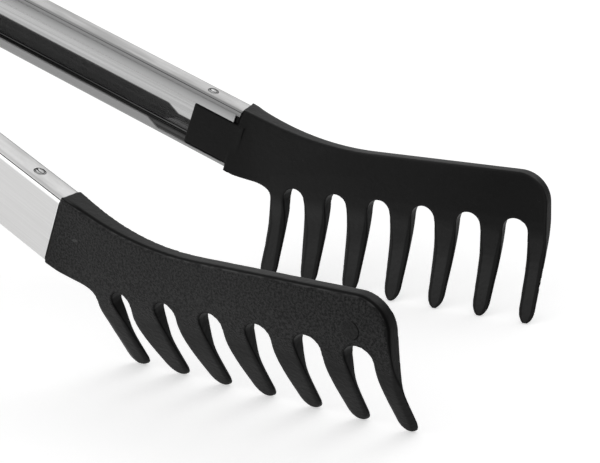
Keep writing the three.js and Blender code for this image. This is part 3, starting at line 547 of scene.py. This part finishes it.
def turned_steel(name, level, rough, frame_matrix, dark_ring=None):
    """Small bright parts: rivets and pins with a faint drawn texture.

    A given ring radius adds a patchy darker ring about the frame's z axis."""
    smear_roughness, relief = 0.14, 0.008
    tree = Tree(name)
    point, (across, beside, _) = tree.place(frame_matrix)
    smear = tree.noise(point, 0.9, detail=3.0, roughness=0.6)
    scratch = tree.noise(tree.stretched(point, (1.0, 1.0, 9.0)), 1.6)
    color = tree.mix_color(smear, *greys([level * share for share in TURNED_SPREAD]))
    if dark_ring:
        # a patchy darker ring at the given radius
        radius = tree.distance(across, beside, 0.0, 0.0)
        ring = tree.band(radius, dark_ring - 0.3, dark_ring - 0.1, dark_ring + 0.1, dark_ring + 0.25)
        darkening = tree.product(ring, tree.ramp(smear, 0.3, 0.5))
        color = tree.mix_color(darkening, color, grey(DARK_RING_TONE))
    roughness = tree.lifted(rough, smear, smear_roughness)
    return tree.surface(color, roughness, tree.bump(scratch, relief), metallic=1.0)


def wire_steel(name, frame_matrix):
    """Drawn spring wire, a little smeared."""
    rough, smear_roughness, relief = 0.2, 0.18, 0.01
    tree = Tree(name)
    point, _ = tree.place(frame_matrix)
    smear = tree.noise(point, 1.3, detail=3.0, roughness=0.6)
    color = tree.mix_color(smear, *greys(WIRE_TONES, WIRE_TINTS))
    roughness = tree.lifted(rough, smear, smear_roughness)
    return tree.surface(color, roughness, tree.bump(smear, relief), metallic=1.0)


# ---- pieces ----


def link(obj):
    bpy.context.scene.collection.objects.link(obj)
    return obj


def modify(obj, kind, **settings):
    made = obj.modifiers.new(kind.lower(), kind)
    for key, value in settings.items():
        setattr(made, key, value)


def apply_modifiers(obj):
    """Fixes the result of the object's modifiers in its mesh."""
    shown = obj.evaluated_get(bpy.context.evaluated_depsgraph_get())
    mesh = bpy.data.meshes.new_from_object(shown)
    obj.modifiers.clear()
    obj.data = mesh


def smoothstep(share):
    return share * share * (3 - 2 * share)


def mesh_points(obj):
    points = np.empty(len(obj.data.vertices) * 3)
    obj.data.vertices.foreach_get("co", points)
    return points.reshape(-1, 3)


def coordinate(points, frame_matrix, axis):
    """One coordinate of each point in a frame, in millimetres."""
    row = np.array(frame_matrix.inverted())[axis]
    return points @ row[:3] + row[3]


def move_along(obj, points, frame_matrix, distances):
    """Moves each point along the frame's x axis by its own distance."""
    step = np.array(frame_matrix.to_3x3() @ Vector((1, 0, 0)))
    points = points + distances[:, None] * step[None, :]
    obj.data.vertices.foreach_set("co", points.reshape(-1))
    obj.data.update()


def moulded(name, node, fineness, material, easing=None):
    """A rounded moulding that stands for a CAD node: remeshed finely, with its edges eased.

    easing gives each point's share of it, from the points' places in the row frame."""
    voxel_mm, rounds = fineness
    obj = link(bpy.data.objects.new(name, nodes[node].data.copy()))
    modify(obj, "WELD", merge_threshold=WELD_REACH)
    modify(obj, "REMESH", mode="VOXEL", voxel_size=voxel_mm * MM, use_smooth_shade=True)
    apply_modifiers(obj)
    points = mesh_points(obj)
    shares = easing(points) if easing else np.ones(len(points))
    group = obj.vertex_groups.new(name="eased")
    for level in range(EASE_LEVELS + 1):
        chosen = np.flatnonzero(np.rint(shares * EASE_LEVELS) == level)
        group.add(chosen.tolist(), level / EASE_LEVELS, "REPLACE")
    modify(obj, "SMOOTH", factor=EASE_FACTOR, iterations=rounds, vertex_group=group.name)
    apply_modifiers(obj)
    obj.vertex_groups.clear()
    obj.data.materials.clear()
    obj.data.materials.append(material)
    obj.data.shade_smooth()
    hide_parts(node)
    return obj


def past_shoulder(frame_matrix):
    """The joint to the arm stays crisp, and the easing grows along the head."""

    def share(points):
        along = coordinate(points, frame_matrix, 0) - ARM_LENGTH
        return np.clip((along - SHOULDER_END) / EASE_RUN, LEAST_EASE, 1.0)

    return share


def fuller_teeth(obj, frame_matrix, at_tips, far_side):
    """Widens the teeth a little about their middles, the first ones most.

    at_tips adds to it toward the tips; far_side is the share of the side away from the arm."""
    points = mesh_points(obj)
    along = coordinate(points, frame_matrix, 0)
    up = coordinate(points, frame_matrix, 2)
    down = np.clip((up - SLOT_TOP) / (TIP_TOP - SLOT_TOP), 0.0, 1.0)
    first = FIRST_ROOT + (FIRST_TIP - FIRST_ROOT) * down
    pitch = ROOT_PITCH + (TIP_PITCH - ROOT_PITCH) * down
    tooth = np.clip(np.rint((along - first) / pitch), 0, TEETH - 1)
    aside = np.clip(along - first - tooth * pitch, -TOOTH_REACH, TOOTH_REACH)
    aside[(tooth == TEETH - 1) & (aside > 0)] = 0.0
    aside[along < TEETH_START] = 0.0
    below = smoothstep(np.clip((SLOT_TOP - up) / ROOT_EASE, 0.0, 1.0))
    fullness = FULLER + FIRST_FULLER * np.exp(-tooth) + at_tips * down
    fullness = fullness * np.where(aside > 0, far_side, 1.0)
    move_along(obj, points, frame_matrix, aside * below * fullness)


def close_up(obj, frame_matrix):
    """Brings the shoulder up to the end of the arm."""
    points = mesh_points(obj)
    along = coordinate(points, frame_matrix, 0) - ARM_LENGTH
    share = np.clip((SHOULDER_END - along) / SHOULDER_FADE, 0.0, 1.0)
    move_along(obj, points, frame_matrix, -SHOULDER_STEP * share)


def closed_mesh(name, vertices, faces):
    """A mesh whose faces all look outward."""
    mesh = bpy.data.meshes.new(name)
    mesh.from_pydata(vertices, [], faces)
    made = bmesh.new()
    made.from_mesh(mesh)
    bmesh.ops.recalc_face_normals(made, faces=made.faces)
    made.to_mesh(mesh)
    made.free()
    return mesh


def mesh_piece(name, vertices, faces, material):
    mesh = closed_mesh(name, vertices, faces)
    mesh.materials.append(material)
    mesh.shade_smooth()
    obj = link(bpy.data.objects.new(name, mesh))
    return obj


def turned(name, profile, frame_matrix, material):
    """A lathed piece: its profile is a list of radius and height, from axis to axis."""
    vertices = []
    rings = []
    for radius, height in profile:
        if radius == 0:
            rings.append([len(vertices)] * LATHE_STEPS)
            vertices.append(frame_matrix @ Vector((0, 0, height)))
            continue
        rings.append([len(vertices) + step for step in range(LATHE_STEPS)])
        for step in range(LATHE_STEPS):
            angle = 2 * math.pi * step / LATHE_STEPS
            corner = Vector((radius * math.cos(angle), radius * math.sin(angle), height))
            vertices.append(frame_matrix @ corner)
    faces = []
    for low, high in zip(rings, rings[1:]):
        for step in range(LATHE_STEPS):
            after = (step + 1) % LATHE_STEPS
            corners = [low[step], low[after], high[after], high[step]]
            faces.append(list(dict.fromkeys(corners)))
    return mesh_piece(name, vertices, faces, material)


def head_pin(side_name, side):
    """A spring pin seen from its end: a rim round a dished end with a slit across it."""
    top = ARM_HEIGHT / 2
    end = [(radius, top + height) for radius, height in PIN_END]
    profile = end + [(radius, -height) for radius, height in reversed(end)]
    place = Matrix.Translation((ARM_LENGTH - PIN_SETBACK, PIN_DEPTH - WEB_OFFSET, 0))
    frame_matrix = arm_frame(side) @ place
    steel_name = f"{side_name}_pin_steel"
    material = turned_steel(steel_name, *PIN_STEEL, frame_matrix, dark_ring=DARK_RING_RADIUS)
    obj = turned(f"{side_name}_pin_end", profile, frame_matrix, material)
    cutter = box_cutter(frame_matrix, SLIT_HALF, top)
    modify(obj, "BOOLEAN", operation="DIFFERENCE", object=cutter)
    apply_modifiers(obj)
    bpy.data.objects.remove(cutter)
    obj.data.set_sharp_from_angle(angle=PIN_SHARP)
    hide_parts(f"{side_name}_head_pin")
    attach(obj, f"{side_name}_side")


def box_cutter(frame_matrix, half, height):
    """A box about a point of the frame's z axis."""
    signs = [(x, y, z) for x in (-1, 1) for y in (-1, 1) for z in (-1, 1)]
    corners = [(x * half[0], y * half[1], height + z * half[2]) for x, y, z in signs]
    vertices = [frame_matrix @ Vector(corner) for corner in corners]
    faces = [(0, 1, 3, 2), (4, 6, 7, 5), (0, 4, 5, 1), (2, 3, 7, 6), (0, 2, 6, 4), (1, 5, 7, 3)]
    return link(bpy.data.objects.new("cutter", closed_mesh("cutter", vertices, faces)))


def spring_point(along):
    """The wire's middle, in the hinge's frame: a leg, the coil, and a leg."""
    rise = COIL_TURNS * COIL_PITCH / 2
    if along < 0 or along > COIL_LENGTH:
        side = 1 if along < 0 else -1
        distance = -along if along < 0 else along - COIL_LENGTH
        spread = math.tan(ARM_YAW) * LEG_LENGTH + WEB_OFFSET - SHEET - LEG_GAP - WIRE_RADIUS
        share = distance / LEG_LENGTH
        ease = LEG_BOW * smoothstep(share) + (1 - LEG_BOW) * share
        beside = COIL_RADIUS + ease * (spread - COIL_RADIUS)
        return Vector((distance, side * beside, -side * rise))
    turn = math.pi / 2 + along / COIL_RADIUS
    height = -rise + COIL_PITCH * along / (2 * math.pi * COIL_RADIUS)
    return Vector((COIL_RADIUS * math.cos(turn), COIL_RADIUS * math.sin(turn), height))


def wire_vertices(path, frame_matrix):
    """Rings of points round a path that starts level, carried along it without a twist."""
    vertices = []
    outward = Vector((0, 0, 1))
    for step, middle in enumerate(path):
        ahead = (path[min(step + 1, WIRE_STEPS)] - path[max(step - 1, 0)]).normalized()
        outward = (outward - ahead * outward.dot(ahead)).normalized()
        beside = ahead.cross(outward)
        for corner in range(WIRE_SIDES):
            angle = 2 * math.pi * corner / WIRE_SIDES
            reach = outward * math.cos(angle) + beside * math.sin(angle)
            vertices.append(frame_matrix @ (middle + reach * (WIRE_RADIUS - WIRE_SHRINK)))
    return vertices


def spring_half(side_name, start, end, material):
    """Half of the spring, from the coil's middle out to one leg."""
    path = [
        spring_point(start + (end - start) * step / WIRE_STEPS) for step in range(WIRE_STEPS + 1)
    ]
    frame_matrix = hinge_frame()
    vertices = wire_vertices(path, frame_matrix)
    last_ring = WIRE_STEPS * WIRE_SIDES
    faces = [list(range(WIRE_SIDES)), [last_ring + corner for corner in range(WIRE_SIDES)]]
    for low in range(0, last_ring, WIRE_SIDES):
        high = low + WIRE_SIDES
        for corner in range(WIRE_SIDES):
            after = (corner + 1) % WIRE_SIDES
            faces.append([low + corner, low + after, high + after, high + corner])
    obj = mesh_piece(f"spring_{side_name}_half", vertices, faces, material)
    obj.data.set_sharp_from_angle(angle=WIRE_SHARP)
    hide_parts("torsion_spring")
    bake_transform(obj)


def finished(node, material, bevel_mm):
    """Gives a CAD node its material and eased edges."""
    obj = nodes[node]
    obj.data.materials.clear()
    obj.data.materials.append(material)
    obj.data.shade_smooth()
    modify(obj, "WELD", merge_threshold=WELD_REACH)
    modify(obj, "DECIMATE", decimate_type="DISSOLVE", angle_limit=FLAT_ANGLE)
    modify(
        obj,
        "BEVEL",
        width=bevel_mm * MM,
        segments=BEVEL_SEGMENTS,
        limit_method="ANGLE",
        angle_limit=BEVEL_ANGLE,
        use_clamp_overlap=False,
    )
    modify(obj, "WEIGHTED_NORMAL", keep_sharp=False)


# ---- stage ----


def seen_share(tree):
    """1 for camera, glossy and transmission rays."""
    path = tree.node("ShaderNodeLightPath")
    camera = path.outputs["Is Camera Ray"]
    glossy = path.outputs["Is Glossy Ray"]
    through = path.outputs["Is Transmission Ray"]
    return tree.math("MAXIMUM", camera, tree.math("MAXIMUM", glossy, through))


def make_floor():
    """A white floor that is lifted a little where it is seen."""
    mesh = bpy.data.meshes.new("floor")
    corners = [(x * FLOOR_REACH, y * FLOOR_REACH, 0) for x, y in FLOOR_CORNERS]
    mesh.from_pydata(corners, [], [(0, 1, 2, 3)])
    floor = link(bpy.data.objects.new("floor", mesh))
    tree = Tree("white_floor")
    diffuse = tree.node("ShaderNodeBsdfDiffuse", {"Color": grey(FLOOR_COLOR)}).outputs[0]
    lift = tree.node("ShaderNodeEmission", {"Color": grey(1.0), "Strength": FLOOR_LIFT})
    both = tree.node("ShaderNodeAddShader")
    tree.put(both.inputs[0], diffuse)
    tree.put(both.inputs[1], lift.outputs[0])
    tree.show(tree.mix_shader(seen_share(tree), diffuse, both.outputs[0]))
    mesh.materials.append(tree.material)


def make_world():
    """White where it is seen or reflected, and a softer light on the object."""
    world = bpy.data.worlds.new("studio")
    bpy.context.scene.world = world
    world.use_nodes = True
    tree = Tree.over(world)
    soft, white = (
        tree.node("ShaderNodeBackground", {"Color": grey(1.0), "Strength": level}).outputs[0]
        for level in (WORLD_LEVEL, 1.0)
    )
    tree.show(tree.mix_shader(seen_share(tree), soft, white))


def area_light(name, place, size, power):
    light = bpy.data.lights.new(name, "AREA")
    light.shape = "RECTANGLE"
    light.size, light.size_y = size
    light.energy = power
    obj = link(bpy.data.objects.new(name, light))
    obj.location = place
    obj.rotation_euler = (Vector(LIGHT_TARGET) - Vector(place)).to_track_quat("-Z", "Y").to_euler()


def make_camera():
    camera = bpy.data.cameras.new("camera")
    camera.lens = CAMERA_LENS
    camera.sensor_width = SENSOR_WIDTH
    camera.clip_start, camera.clip_end = CAMERA_CLIP
    obj = link(bpy.data.objects.new("camera", camera))
    turn = Matrix.Rotation(CAMERA_AZIMUTH, 4, "Z")
    tilt = Matrix.Rotation(math.pi / 2 - CAMERA_ELEVATION, 4, "X")
    roll = Matrix.Rotation(CAMERA_ROLL, 4, "Z")
    obj.matrix_world = Matrix.Translation(HINGE + CAMERA_FROM_HINGE) @ turn @ tilt @ roll
    bpy.context.scene.camera = obj


make_camera()
make_world()
make_floor()
area_light("key", KEY_PLACE, KEY_SIZE, KEY_POWER)
area_light("fill", FILL_PLACE, FILL_SIZE, FILL_POWER)

for side_name, side in SIDES.items():
    name = f"{side_name}_head"
    arm = arm_frame(side)
    head = head_frame(side)
    black = nylon(f"{side_name}_nylon", head, marked=side == 1)
    easing = past_shoulder(arm)
    moulding = moulded(f"{name}_moulding", name, HEAD_MESH, black, easing)
    close_up(moulding, arm)
    fuller_teeth(moulding, head, *FULLER_SIDES[side_name])
    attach(moulding, f"{side_name}_side")
    # the front arm is painted as the lit one: lighter flanges, and a painted glint and painted
    # crease shade on its bend
    steel = arm_steel(f"{side_name}_steel", arm, lit_arm=side == 1)
    finished(f"{side_name}_arm", steel, ARM_BEVEL)
    head_pin(side_name, side)

bright = turned_steel("bright_steel", *RIVET_STEEL, hinge_frame())
finished("hinge_rivet", bright, RIVET_BEVEL)
finished("tab_rivet", bright, TAB_RIVET_BEVEL)
finished("lock_slider", arm_steel("lock_steel", hinge_frame()), LOCK_BEVEL)
wire = wire_steel("spring_wire", hinge_frame())
spring_half("rear", -LEG_LENGTH, COIL_LENGTH / 2, wire)
spring_half("front", COIL_LENGTH / 2, COIL_LENGTH + LEG_LENGTH, wire)
plain_nylon = nylon("plain_nylon", hinge_frame(), grained=False)
finished("spring_sleeve", plain_nylon, SLEEVE_BEVEL)
tab = moulded("pull_tab_moulding", "pull_tab", TAB_MESH, plain_nylon)
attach(tab, "lock")

bpy.context.scene.view_settings.view_transform = "Standard"
